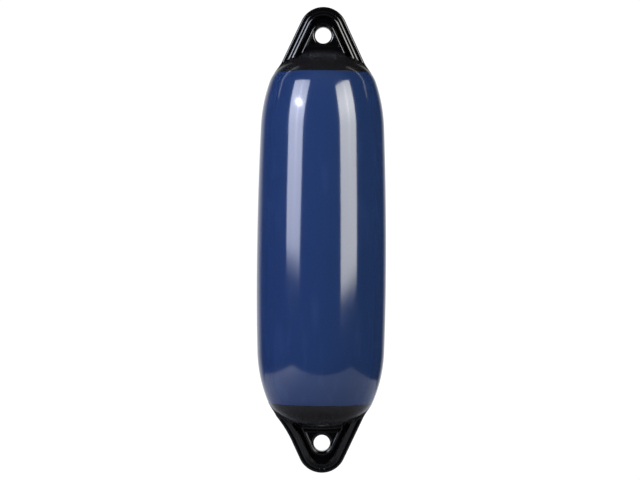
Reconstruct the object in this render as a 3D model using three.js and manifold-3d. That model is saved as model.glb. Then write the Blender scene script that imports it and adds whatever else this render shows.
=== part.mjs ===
// Pneumatic boat fender: a soft air-filled body between two moulded ends that each carry a rope eye, with an
// air valve in the back of the upper end. Millimetres, +Z up, origin at the middle of the fender. The flat
// faces of the rope eyes look along Y, and the valve is on the +Y side.

import * as THREE from 'three';
import { mergeVertices } from 'three/addons/utils/BufferGeometryUtils.js';
import Module from 'manifold-3d';

const wasm = await Module();
wasm.setup();

// Driving dimensions: the whole fender
const OVERALL_LENGTH = 540; // tip to tip of the rope eyes
const BODY_DIAMETER = 150; // at the widest ring
const BELLY_DROP = 41; // the widest ring hangs this far below the middle
const BODY_WALL = 3.6; // soft wall of the air chamber
const END_THICKNESS = 8; // moulded dome at each end
const LAP_WIDTH = 9; // how far the ends reach over the body's edge
const BOND_GAP = 0.3; // glue line between body and ends

// The outline of each end is a chain of tangent arcs from the widest ring to the axis. Turns are the tilt of
// the surface in degrees, 0 where the wall is upright and 90 at the crown. A low flat-topped pad stands on
// the crown, and the rope eye on the pad. The lower eye is moulded a little to one side of the axis.
const TOP_END = {
  bellyToMiddle: BELLY_DROP,
  sideTurn: 2.3,
  quarterRadius: 185,
  quarterTurn: 18.5,
  shoulderRadius: 40.5,
  seamTurn: 36.5,
  shoulderTurn: 80,
  padRadius: 20.6,
  padHeight: 5.2,
  eyeHeight: 58.4,
  eyeOffset: 0,
  holeToTip: 33,
};
const BOTTOM_END = {
  bellyToMiddle: -BELLY_DROP,
  sideTurn: 1.8,
  quarterRadius: 160,
  quarterTurn: 22,
  shoulderRadius: 39,
  seamTurn: 28.3,
  shoulderTurn: 71,
  padRadius: 21.9,
  padHeight: 2.4,
  eyeHeight: 56.2,
  eyeOffset: -2.1,
  holeToTip: 34.5,
};

// Driving dimensions: the rope eyes
const EYE_TIP_RADIUS = 28;
const EYE_FLANK_TILT = 25; // degrees between a flank and the fender's axis
const EYE_LIP_THICKNESS = 15; // thin flange round the outline
const EYE_LIP_WIDTH = 4;
const EYE_RIM_THICKNESS = 22; // rounded band inside the flange
const EYE_RIM_WIDTH = 7;
const EYE_WEB_THICKNESS = 11; // floor of the pocket between band and boss
const EYE_BOSS_THICKNESS = 21; // thick wall round the rope hole
const EYE_BOSS_WALL = 5.2;
const ROPE_HOLE_DIAMETER = 19;
const ROPE_HOLE_ROUND = 3.2; // rounded mouth, so that it doesn't cut the rope
const LIP_ROUND = 1.6;
const RIM_ROUND = 3;
const BOSS_ROUND = 1.8;
const ROOT_PAD_SLOPE = 31; // degrees down from the pad's flat top

// Driving dimensions: the air valve, along its own axis and square to the dome
const VALVE_TILT = 21; // degrees from the fender's axis towards the back
const FLANGE_RADIUS = 10;
const FLANGE_THICKNESS = 3.6;
const FLANGE_SINK = 1.5; // the flange's top lies this far below the dome's highest point over it
const BARREL_RADIUS = 6.2;
const BARREL_LENGTH = 10.5; // from under the flange into the air chamber
const BARREL_FLOOR = 1.5;
const HEAD_RADIUS = 6;
const HEAD_THICKNESS = 1.7;
const SLOT_WIDTH = 1.6;
const SLOT_DEPTH = 1;
const SHANK_RADIUS = 3.4;
const SHANK_LENGTH = 7.5;
const WASHER_RADIUS = 5.2;
const WASHER_THICKNESS = 1.2;
const PORT_RADIUS = 0.7;
const PORT_COUNT = 4;
const FLAP_RADIUS = 4.9;
const FLAP_THICKNESS = 1;
const STEM_RADIUS = 0.8;
const BEAD_RADIUS = 1.4;
const BEAD_THICKNESS = 0.9;
const VALVE_GAP = 0.3; // clearance round and between the valve's pieces

// Facet counts
const ROUND_FACETS = 40;
const VALVE_FACETS = 20;
const PORT_FACETS = 8;
const TIP_FACETS = 12;
const ROUND_EDGE_FACETS = 2;
const DEGREES_PER_RING = 9;
const SIDE_RINGS = 5;

const { degToRad } = THREE.MathUtils;
const bellyRadius = BODY_DIAMETER / 2;
const ropeHoleRadius = ROPE_HOLE_DIAMETER / 2;
const lapDepth = BODY_WALL / 2;
const eyeFootDepth = END_THICKNESS / 2; // the eye and its pad end inside the dome's wall

// Materials
const navySoftVinyl = { color: 0x1c3468, roughness: 0.22, metalness: 0 };
const blackSoftVinyl = { color: 0x0c0c0e, roughness: 0.35, metalness: 0 };
const greyNylon = { color: 0x2a2b2d, roughness: 0.45, metalness: 0 };
const blackNylon = { color: 0x101012, roughness: 0.4, metalness: 0 };
const sealRubber = { color: 0x151515, roughness: 0.8, metalness: 0 };

// Solids

function solidOf(geometry) {
  const bare = geometry.index ? geometry.toNonIndexed() : geometry.clone();
  bare.deleteAttribute('normal');
  bare.deleteAttribute('uv');
  const merged = mergeVertices(bare, 1e-4);
  const faces = [];
  const corners = merged.index.array;
  for (let at = 0; at < corners.length; at += 3) {
    const [a, b, c] = [corners[at], corners[at + 1], corners[at + 2]];
    if (a !== b && b !== c && c !== a) faces.push(a, b, c);
  }
  const shell = new wasm.Mesh({
    numProp: 3,
    vertProperties: Float32Array.from(merged.attributes.position.array),
    triVerts: Uint32Array.from(faces),
  });
  return new wasm.Manifold(shell);
}

function geometryOf(solid) {
  const shell = solid.getMesh();
  const geometry = new THREE.BufferGeometry();
  geometry.setAttribute('position', new THREE.BufferAttribute(shell.vertProperties, 3));
  geometry.setIndex(new THREE.BufferAttribute(shell.triVerts, 1));
  geometry.computeVertexNormals();
  return geometry;
}

function pieceOf(name, solid, finish) {
  const piece = new THREE.Mesh(geometryOf(solid), new THREE.MeshStandardMaterial(finish));
  piece.name = name;
  return piece;
}

// A solid turned about +Z from [radius, height] points that run anticlockwise, from the axis or in a ring.
function turned(profile, facets = ROUND_FACETS) {
  const points = profile.map(([radius, height]) => new THREE.Vector2(Math.max(radius, 0), height));
  if (points[0].x > 0) points.push(points[0].clone());
  return solidOf(new THREE.LatheGeometry(points, facets).rotateX(Math.PI / 2));
}

// A plate of an outline in X and Z, centred on Y = 0, with rounded edges on both faces.
function plate(outline, thickness, edgeRound) {
  const geometry = new THREE.ExtrudeGeometry(outline, {
    depth: thickness - 2 * edgeRound,
    bevelEnabled: edgeRound > 0,
    bevelThickness: edgeRound,
    bevelSize: edgeRound,
    bevelOffset: -edgeRound,
    bevelSegments: ROUND_EDGE_FACETS,
    curveSegments: TIP_FACETS,
  });
  geometry.translate(0, 0, edgeRound - thickness / 2);
  return solidOf(geometry.rotateX(Math.PI / 2));
}

// Outline of an end

// The arcs of an end, from the widest ring at height 0 to the crown. The side arc's radius follows from the
// others, so that the crown comes out at the height that the overall length asks for.
function outlineOf(end) {
  const [side, quarter, shoulder] = [end.sideTurn, end.quarterTurn, end.shoulderTurn].map(degToRad);
  const crownHeight = OVERALL_LENGTH / 2 + end.bellyToMiddle - end.eyeHeight;
  const rise = end.quarterRadius * (Math.sin(quarter) - Math.sin(side))
    + end.shoulderRadius * (Math.sin(shoulder) - Math.sin(quarter));
  const inset = end.quarterRadius * (Math.cos(side) - Math.cos(quarter))
    + end.shoulderRadius * (Math.cos(quarter) - Math.cos(shoulder));
  const crownSlope = (1 - Math.sin(shoulder)) / Math.cos(shoulder);
  const sideRadius = (crownHeight - rise - crownSlope * (bellyRadius - inset))
    / (Math.sin(side) - crownSlope * (1 - Math.cos(side)));
  const crownRadius = (bellyRadius - sideRadius * (1 - Math.cos(side)) - inset) / Math.cos(shoulder);

  const arcs = [];
  const centre = new THREE.Vector2(bellyRadius - sideRadius, 0);
  const chain = [
    [sideRadius, side],
    [end.quarterRadius, quarter],
    [end.shoulderRadius, shoulder],
    [crownRadius, Math.PI / 2],
  ];
  let start = 0;
  chain.forEach(([radius, stop], index) => {
    if (index > 0) centre.addScaledVector(normalAt(start), chain[index - 1][0] - radius);
    arcs.push({ start, stop, radius, centre: centre.clone() });
    start = stop;
  });
  return { arcs, crownHeight };
}

function normalAt(turn) {
  return new THREE.Vector2(Math.cos(turn), Math.sin(turn));
}

// The point of an outline where the surface has a given tilt, sunk to a depth below the surface.
function outlinePoint(outline, turn, depth = 0) {
  const arc = outline.arcs.find(({ stop }) => turn <= stop) ?? outline.arcs.at(-1);
  return normalAt(turn).multiplyScalar(arc.radius - depth).add(arc.centre).toArray();
}

// Points of an outline between two tilts, with a ring at each joint of two arcs.
function outlineRun(outline, from, to, depth = 0) {
  const turns = [from];
  for (const arc of outline.arcs) {
    const low = Math.max(arc.start, from);
    const high = Math.min(arc.stop, to);
    if (high <= low) continue;
    const byTilt = Math.ceil((high - low) / degToRad(DEGREES_PER_RING));
    const steps = arc.start === 0 ? SIDE_RINGS : byTilt;
    for (let step = 1; step <= steps; step += 1) turns.push(low + ((high - low) * step) / steps);
  }
  return turns.map((turn) => outlinePoint(outline, turn, depth));
}

// Places of the lap joint, where the end's skirt lies over the body's thinned edge.
function lapOf(end) {
  const seam = degToRad(end.seamTurn);
  const tongue = seam + LAP_WIDTH / end.shoulderRadius;
  const gap = BOND_GAP / end.shoulderRadius;
  return { seam, tongue, skirt: seam + gap, step: tongue + gap };
}

// Body

function bodyEdge(end) {
  const outline = outlineOf(end);
  const { seam, tongue } = lapOf(end);
  return {
    outside: [...outlineRun(outline, 0, seam), ...outlineRun(outline, seam, tongue, lapDepth)],
    inside: outlineRun(outline, 0, tongue, BODY_WALL),
  };
}

function bodyShell() {
  const top = bodyEdge(TOP_END);
  const bottom = bodyEdge(BOTTOM_END);
  const downwards = ([radius, height]) => [radius, -height];
  return turned([
    ...bottom.outside.map(downwards).reverse(),
    ...top.outside.slice(1),
    ...top.inside.reverse(),
    ...bottom.inside.slice(1).map(downwards),
  ]);
}

// Moulded ends

function endDome(end, outline) {
  const { skirt, step } = lapOf(end);
  return turned([
    ...outlineRun(outline, step, Math.PI / 2, END_THICKNESS).reverse(),
    ...outlineRun(outline, skirt, step, lapDepth - BOND_GAP).reverse(),
    ...outlineRun(outline, skirt, Math.PI / 2),
  ]);
}

// Everything below the skirt and below the middle of the dome's wall, which the eye's foot is kept out of.
function domeCore(end, outline) {
  const { step } = lapOf(end);
  return turned([
    [0, 0],
    ...outlineRun(outline, 0, step, lapDepth - BOND_GAP),
    ...outlineRun(outline, step, Math.PI / 2, eyeFootDepth),
  ]);
}

// An eye's outline in X and Z: a round tip over flanks that widen down to a level foot.
function eyeOutline(centreHeight, radius, footHeight) {
  const tilt = degToRad(EYE_FLANK_TILT);
  const shoulderHeight = centreHeight + radius * Math.sin(tilt);
  const footHalf = radius * Math.cos(tilt) + (shoulderHeight - footHeight) * Math.tan(tilt);
  const outline = new THREE.Shape();
  outline.moveTo(-footHalf, footHeight);
  outline.lineTo(footHalf, footHeight);
  outline.absarc(0, centreHeight, radius, tilt, Math.PI - tilt, false);
  outline.closePath();
  return outline;
}

function ropeHole(height) {
  const mouth = EYE_BOSS_THICKNESS / 2 - ROPE_HOLE_ROUND;
  const flare = [];
  for (let step = 0; step <= ROUND_EDGE_FACETS; step += 1) {
    const turn = (Math.PI / 2) * (step / ROUND_EDGE_FACETS);
    flare.push([
      ropeHoleRadius + ROPE_HOLE_ROUND * (1 - Math.cos(turn)),
      mouth + ROPE_HOLE_ROUND * Math.sin(turn),
    ]);
  }
  const reach = EYE_RIM_THICKNESS; // past both faces of the eye
  const widest = ropeHoleRadius + ROPE_HOLE_ROUND;
  const profile = [
    [0, -reach],
    [widest, -reach],
    ...flare.map(([radius, along]) => [radius, -along]).reverse(),
    ...flare,
    [widest, reach],
    [0, reach],
  ];
  return turned(profile).rotate([90, 0, 0]).translate([0, 0, height]);
}

function rootPad(end, crownHeight) {
  const spread = (end.padHeight + END_THICKNESS) / Math.tan(degToRad(ROOT_PAD_SLOPE));
  return turned([
    [0, crownHeight - END_THICKNESS],
    [end.padRadius + spread, crownHeight - END_THICKNESS],
    [end.padRadius, crownHeight + end.padHeight],
    [0, crownHeight + end.padHeight],
  ]);
}

function ropeEye(end, outline) {
  const tip = outline.crownHeight + end.eyeHeight;
  const tipCentre = tip - EYE_TIP_RADIUS;
  const holeHeight = tip - end.holeToTip;
  const { skirt, step } = lapOf(end);
  const foot = outlinePoint(outline, (skirt + step) / 2)[1];
  const rimInset = EYE_LIP_WIDTH;
  const pocketInset = EYE_LIP_WIDTH + EYE_RIM_WIDTH;
  const inset = (amount) => eyeOutline(tipCentre, EYE_TIP_RADIUS - amount, foot);

  const lip = plate(inset(0), EYE_LIP_THICKNESS, LIP_ROUND);
  const rim = plate(inset(rimInset), EYE_RIM_THICKNESS, RIM_ROUND);
  const pocketDepth = EYE_RIM_THICKNESS;
  const pocket = plate(inset(pocketInset), pocketDepth, 0);
  const pocketOffset = (EYE_WEB_THICKNESS + pocketDepth) / 2;
  const bossOutline = eyeOutline(holeHeight, ropeHoleRadius + EYE_BOSS_WALL, foot);
  const boss = plate(bossOutline, EYE_BOSS_THICKNESS, BOSS_ROUND);

  return lip
    .add(rim)
    .subtract(pocket.translate([0, pocketOffset, 0]))
    .subtract(pocket.translate([0, -pocketOffset, 0]))
    .add(boss)
    .subtract(ropeHole(holeHeight))
    .translate([end.eyeOffset, 0, 0])
    .add(rootPad(end, outline.crownHeight))
    .subtract(domeCore(end, outline));
}

function mouldedEnd(end) {
  const outline = outlineOf(end);
  return endDome(end, outline).add(ropeEye(end, outline));
}

// Air valve, built along +Z with the dome's surface at height 0

const flangeTop = -FLANGE_SINK;
const flangeUnder = flangeTop - FLANGE_THICKNESS;
const barrelEnd = flangeUnder - BARREL_LENGTH;
const boreRadius = SHANK_RADIUS + VALVE_GAP;
const boreFloor = barrelEnd + BARREL_FLOOR;
const headUnder = flangeTop - HEAD_THICKNESS;
const washerTop = headUnder - VALVE_GAP;
const washerUnder = washerTop - WASHER_THICKNESS;
const recessFloor = washerUnder - VALVE_GAP;
const recessRadius = HEAD_RADIUS + VALVE_GAP;

function valvePocket() {
  const pocketFloor = flangeUnder - VALVE_GAP;
  const pocketRadius = FLANGE_RADIUS + VALVE_GAP;
  const passage = BARREL_RADIUS + VALVE_GAP;
  const mouth = END_THICKNESS; // out past the dome's surface
  return turned([
    [0, barrelEnd],
    [passage, barrelEnd],
    [passage, pocketFloor],
    [pocketRadius, pocketFloor],
    [pocketRadius, mouth],
    [0, mouth],
  ], VALVE_FACETS);
}

function valveSeat() {
  const body = turned([
    [0, barrelEnd],
    [BARREL_RADIUS, barrelEnd],
    [BARREL_RADIUS, flangeUnder],
    [FLANGE_RADIUS, flangeUnder],
    [FLANGE_RADIUS, flangeTop],
    [recessRadius, flangeTop],
    [recessRadius, recessFloor],
    [boreRadius, recessFloor],
    [boreRadius, boreFloor],
    [0, boreFloor],
  ], VALVE_FACETS);
  const stemHole = STEM_RADIUS + VALVE_GAP;
  let seat = body.subtract(portCutter(stemHole));
  const portCircle = (stemHole + boreRadius) / 2;
  for (let port = 0; port < PORT_COUNT; port += 1) {
    const turn = (2 * Math.PI * port) / PORT_COUNT;
    const place = [portCircle * Math.cos(turn), portCircle * Math.sin(turn), 0];
    seat = seat.subtract(portCutter(PORT_RADIUS).translate(place));
  }
  return seat;
}

function portCutter(radius) {
  const low = barrelEnd - BARREL_FLOOR;
  const high = boreFloor + BARREL_FLOOR;
  return turned([[0, low], [radius, low], [radius, high], [0, high]], PORT_FACETS);
}

function valveFlap() {
  const discTop = barrelEnd - VALVE_GAP;
  const discUnder = discTop - FLAP_THICKNESS;
  const beadUnder = boreFloor + VALVE_GAP;
  const beadTop = beadUnder + BEAD_THICKNESS;
  return turned([
    [0, discUnder],
    [FLAP_RADIUS, discUnder],
    [FLAP_RADIUS, discTop],
    [STEM_RADIUS, discTop],
    [STEM_RADIUS, beadUnder],
    [BEAD_RADIUS, beadUnder],
    [BEAD_RADIUS, beadTop],
    [0, beadTop],
  ], VALVE_FACETS);
}

function valveWasher() {
  return turned([
    [boreRadius, washerUnder],
    [WASHER_RADIUS, washerUnder],
    [WASHER_RADIUS, washerTop],
    [boreRadius, washerTop],
  ], VALVE_FACETS);
}

function valveScrew() {
  const body = turned([
    [0, headUnder - SHANK_LENGTH],
    [SHANK_RADIUS, headUnder - SHANK_LENGTH],
    [SHANK_RADIUS, headUnder],
    [HEAD_RADIUS, headUnder],
    [HEAD_RADIUS, flangeTop],
    [0, flangeTop],
  ], VALVE_FACETS);
  const slot = solidOf(new THREE.BoxGeometry(2 * recessRadius, SLOT_WIDTH, 2 * SLOT_DEPTH));
  return body.subtract(slot.translate([0, 0, flangeTop]));
}

// Where the valve sits on the upper end: the dome's surface point, and its tilt towards +Y.
function placeValve(object, outline) {
  const tilt = degToRad(VALVE_TILT);
  const [radius, height] = outlinePoint(outline, Math.PI / 2 - tilt);
  object.position.set(0, radius, height);
  object.rotation.x = -tilt;
  return object;
}

function valvePocketInPlace(outline) {
  const carrier = placeValve(new THREE.Group(), outline);
  carrier.updateMatrix();
  return valvePocket().transform(carrier.matrix.toArray());
}

// Assembly

function upperEnd() {
  const outline = outlineOf(TOP_END);
  const group = new THREE.Group();
  const moulding = mouldedEnd(TOP_END).subtract(valvePocketInPlace(outline));
  group.add(pieceOf('top_rope_eye', moulding, blackSoftVinyl));
  const valve = placeValve(new THREE.Group(), outline);
  valve.add(
    pieceOf('valve_seat', valveSeat(), greyNylon),
    pieceOf('valve_flap', valveFlap(), sealRubber),
    pieceOf('valve_washer', valveWasher(), sealRubber),
    pieceOf('valve_screw', valveScrew(), blackNylon),
  );
  group.add(valve);
  return group;
}

function lowerEnd() {
  const group = new THREE.Group();
  group.add(pieceOf('bottom_rope_eye', mouldedEnd(BOTTOM_END), blackSoftVinyl));
  group.rotation.y = Math.PI;
  return group;
}

const fender = new THREE.Group();
fender.add(pieceOf('body_shell', bodyShell(), navySoftVinyl), upperEnd(), lowerEnd());
fender.position.z = -BELLY_DROP;

export default fender;
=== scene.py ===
"""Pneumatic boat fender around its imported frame: body, moulded rope eyes, air valve and studio."""

import logging
import math
from collections.abc import Callable
from dataclasses import asdict, dataclass, fields
from enum import Enum

import bmesh
import bpy
import numpy as np
from mathutils import Matrix, Vector


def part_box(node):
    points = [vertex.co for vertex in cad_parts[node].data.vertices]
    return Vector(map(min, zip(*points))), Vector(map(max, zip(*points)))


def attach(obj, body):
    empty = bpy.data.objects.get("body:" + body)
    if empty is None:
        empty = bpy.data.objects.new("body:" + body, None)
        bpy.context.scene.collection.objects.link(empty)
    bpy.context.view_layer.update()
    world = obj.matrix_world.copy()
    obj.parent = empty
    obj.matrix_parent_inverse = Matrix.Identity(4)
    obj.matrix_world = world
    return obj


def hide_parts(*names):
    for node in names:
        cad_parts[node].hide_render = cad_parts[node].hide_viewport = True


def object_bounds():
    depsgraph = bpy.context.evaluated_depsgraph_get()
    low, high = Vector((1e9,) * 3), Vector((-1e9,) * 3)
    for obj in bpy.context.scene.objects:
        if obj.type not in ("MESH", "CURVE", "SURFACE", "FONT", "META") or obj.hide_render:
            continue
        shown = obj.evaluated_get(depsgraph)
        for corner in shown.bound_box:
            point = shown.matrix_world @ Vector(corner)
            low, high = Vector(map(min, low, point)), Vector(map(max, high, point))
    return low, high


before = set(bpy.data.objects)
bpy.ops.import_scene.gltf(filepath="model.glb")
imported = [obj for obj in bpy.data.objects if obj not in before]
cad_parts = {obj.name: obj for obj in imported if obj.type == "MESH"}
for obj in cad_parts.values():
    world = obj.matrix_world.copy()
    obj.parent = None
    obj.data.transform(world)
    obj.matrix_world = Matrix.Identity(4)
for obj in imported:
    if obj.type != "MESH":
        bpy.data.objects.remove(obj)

LOG = logging.getLogger("fender")
Colour = tuple[float, float, float]
CAD_LOW, CAD_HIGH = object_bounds()
BELLY_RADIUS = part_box("body_shell")[1][0]
HALF_LENGTH = CAD_HIGH[2]
BELLY_DROP = 0.041
BODY_WALL = 0.0036
LAP_WIDTH = 0.009
SEAM_GAP = 0.0001
SAME_PLACE = 1e-7
SHARP_DEGREES = 35
WELD_DISTANCE = 1e-6


class Side(Enum):
    """Upper or lower end of the fender; the value is the sign of its height."""

    UPPER = 1
    LOWER = -1


# Outline of an end


@dataclass(frozen=True)
class Arc:
    """One arc of an end's outline, between two tilts of the surface."""

    start: float
    stop: float
    radius: float
    centre: tuple[float, float]


@dataclass(frozen=True)
class EndOutline:
    """Chain of tangent arcs from the widest ring to the crown, as radius and height over that ring."""

    side: Side
    side_turn: float
    quarter_radius: float
    quarter_turn: float
    shoulder_radius: float
    seam_turn: float
    shoulder_turn: float
    eye_height: float

    @property
    def crown_height(self) -> float:
        """Height of the crown over the widest ring.

        Returns:
            Metres.
        """
        return HALF_LENGTH + self.side.value * BELLY_DROP - self.eye_height

    @property
    def seam(self) -> float:
        """Tilt of the surface at the colour line.

        Returns:
            Radians.
        """
        return math.radians(self.seam_turn)

    @property
    def tongue(self) -> float:
        """Tilt at which the body's thinned edge ends under the skirt.

        Returns:
            Radians.
        """
        return self.seam + LAP_WIDTH / self.shoulder_radius

    def arcs(self) -> list[Arc]:
        """Work out the arcs, with the side arc's radius from the crown's height.

        Returns:
            The arcs in order, from the widest ring to the crown.
        """
        turns = (self.side_turn, self.quarter_turn, self.shoulder_turn)
        first, second, third = (math.radians(turn) for turn in turns)
        rise = self.quarter_radius * (math.sin(second) - math.sin(first))
        rise += self.shoulder_radius * (math.sin(third) - math.sin(second))
        inset = self.quarter_radius * (math.cos(first) - math.cos(second))
        inset += self.shoulder_radius * (math.cos(second) - math.cos(third))
        slope = (1 - math.sin(third)) / math.cos(third)
        side_radius = self.crown_height - rise - slope * (BELLY_RADIUS - inset)
        side_radius /= math.sin(first) - slope * (1 - math.cos(first))
        crown_radius = (BELLY_RADIUS - side_radius * (1 - math.cos(first)) - inset) / math.cos(third)
        made: list[Arc] = []
        centre = np.array([BELLY_RADIUS - side_radius, 0.0])
        start, before = 0.0, side_radius
        chain = ((side_radius, first), (self.quarter_radius, second), (self.shoulder_radius, third),
                 (crown_radius, math.pi / 2))
        for radius, stop in chain:
            centre = centre + (before - radius) * np.array([math.cos(start), math.sin(start)])
            made.append(Arc(start, stop, radius, (float(centre[0]), float(centre[1]))))
            start, before = stop, radius
        return made

    def point(self, turn: float, depth: float = 0.0) -> tuple[float, float]:
        """Find the outline's point at a tilt of the surface.

        Args:
            turn: Tilt of the surface in radians.
            depth: How far under the surface.

        Returns:
            Radius and height over the widest ring.
        """
        arcs = self.arcs()
        arc = next((a for a in arcs if turn <= a.stop), arcs[-1])
        reach = arc.radius - depth
        return arc.centre[0] + reach * math.cos(turn), arc.centre[1] + reach * math.sin(turn)

    def run(self, start: float, stop: float, depth: float, degrees: float) -> list[tuple[float, float]]:
        """List outline points between two tilts.

        Args:
            start: First tilt in radians.
            stop: Last tilt in radians.
            depth: How far under the surface.
            degrees: Largest tilt between two points.

        Returns:
            The points in order.
        """
        points = [self.point(start, depth)]
        for arc in self.arcs():
            low, high = max(arc.start, start), min(arc.stop, stop)
            if high <= low:
                continue
            wanted = math.ceil(math.degrees(high - low) / degrees)
            steps = max(wanted, SIDE_STEPS) if arc.start == 0 else wanted
            points += [self.point(low + (high - low) * (i + 1) / steps, depth) for i in range(steps)]
        return points

    def distance(self, radius: np.ndarray, height: np.ndarray) -> tuple[np.ndarray, np.ndarray]:
        """Measure how far points lie outside the outline.

        Args:
            radius: Distances from the fender's axis.
            height: Heights over the widest ring.

        Returns:
            Signed distances, and the tilt of the surface nearest to each point.
        """
        far = np.full(radius.shape, np.nan)
        tilt = np.full(radius.shape, math.pi / 2)
        for arc in self.arcs():
            across, up = radius - arc.centre[0], height - arc.centre[1]
            turn = np.arctan2(up, across)
            near = np.isnan(far) & (turn <= arc.stop + TINY) & (turn >= arc.start - TINY)
            far[near] = np.hypot(across, up)[near] - arc.radius
            tilt[near] = turn[near]
        last = self.arcs()[-1]
        rest = np.isnan(far)
        far[rest] = (np.hypot(radius - last.centre[0], height - last.centre[1]) - last.radius)[rest]
        return far, tilt


SIDE_STEPS = 14
UPPER_OUTLINE = EndOutline(
    Side.UPPER, side_turn=2.3, quarter_radius=0.185, quarter_turn=18.5, shoulder_radius=0.0405,
    seam_turn=36.5, shoulder_turn=80, eye_height=0.0584)
LOWER_OUTLINE = EndOutline(
    Side.LOWER, side_turn=1.8, quarter_radius=0.160, quarter_turn=22, shoulder_radius=0.039,
    seam_turn=28.3, shoulder_turn=71, eye_height=0.0562)


# Small helpers for node trees


def feed(tree: bpy.types.NodeTree, value: object, slot: bpy.types.NodeSocket) -> None:
    """Give an input its value.

    Args:
        tree: The tree that the input is in.
        value: A socket, which is linked, or a constant, which is set.
        slot: The input.
    """
    if isinstance(value, bpy.types.NodeSocket):
        tree.links.new(value, slot)
    else:
        slot.default_value = value


def maths(tree: bpy.types.NodeTree, kind: str, *values: object) -> bpy.types.NodeSocket:
    """Add one maths node.

    Args:
        tree: The tree that it goes into.
        kind: The operation's name.
        values: Sockets or numbers.

    Returns:
        The node's result.
    """
    node = tree.nodes.new("ShaderNodeMath")
    node.operation = kind
    for slot, value in zip(node.inputs, values):
        feed(tree, value, slot)
    return node.outputs[0]


def ramp(tree: bpy.types.NodeTree, value: object, given: tuple[float, float] = (0.0, 1.0),
         made: tuple[object, object] = (0.0, 1.0), kind: str = "LINEAR") -> bpy.types.NodeSocket:
    """Add a node that maps a stretch of values to another.

    Args:
        tree: The tree that it goes into.
        value: What is mapped.
        given: Ends of the stretch that comes in.
        made: Ends of the stretch that goes out, numbers or sockets.
        kind: How it runs between the ends.

    Returns:
        The node's result.
    """
    node = tree.nodes.new("ShaderNodeMapRange")
    node.interpolation_type = kind
    names = ("Value", "From Min", "From Max", "To Min", "To Max")
    for name, number in zip(names, (value, *given, *made)):
        feed(tree, number, node.inputs[name])
    return node.outputs["Result"]


# Small helpers for meshes


def object_of(name: str, mesh: bpy.types.Mesh) -> bpy.types.Object:
    """Link a mesh into the scene as an object at the origin.

    Args:
        name: The object's name.
        mesh: Its mesh.

    Returns:
        The new object.
    """
    piece = bpy.data.objects.new(name, mesh)
    bpy.context.scene.collection.objects.link(piece)
    return piece


def mesh_of(name: str, points: np.ndarray, faces: list | np.ndarray) -> bpy.types.Mesh:
    """Make a mesh from points and faces.

    Args:
        name: The mesh's name.
        points: Rows of X, Y and Z in metres.
        faces: Rows of point numbers.

    Returns:
        The mesh.
    """
    mesh = bpy.data.meshes.new(name)
    mesh.from_pydata([tuple(map(float, p)) for p in points], [], [tuple(map(int, f)) for f in faces])
    mesh.validate()
    return mesh


def finish_mesh(piece: bpy.types.Object, material: bpy.types.Material, sharp_degrees: float) -> None:
    """Point the faces outwards, shade them smooth up to an angle and give them their material.

    Args:
        piece: The object to finish.
        material: Its only material.
        sharp_degrees: Edges that bend more than this stay crisp.
    """
    shape = bmesh.new()
    shape.from_mesh(piece.data)
    bmesh.ops.remove_doubles(shape, verts=shape.verts, dist=SAME_PLACE)
    bmesh.ops.recalc_face_normals(shape, faces=shape.faces)
    shape.to_mesh(piece.data)
    shape.free()
    piece.data.shade_smooth()
    piece.data.set_sharp_from_angle(angle=math.radians(sharp_degrees))
    piece.data.materials.clear()
    piece.data.materials.append(material)


# A solid turned about the Z axis, made by geometry nodes from a profile


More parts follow.
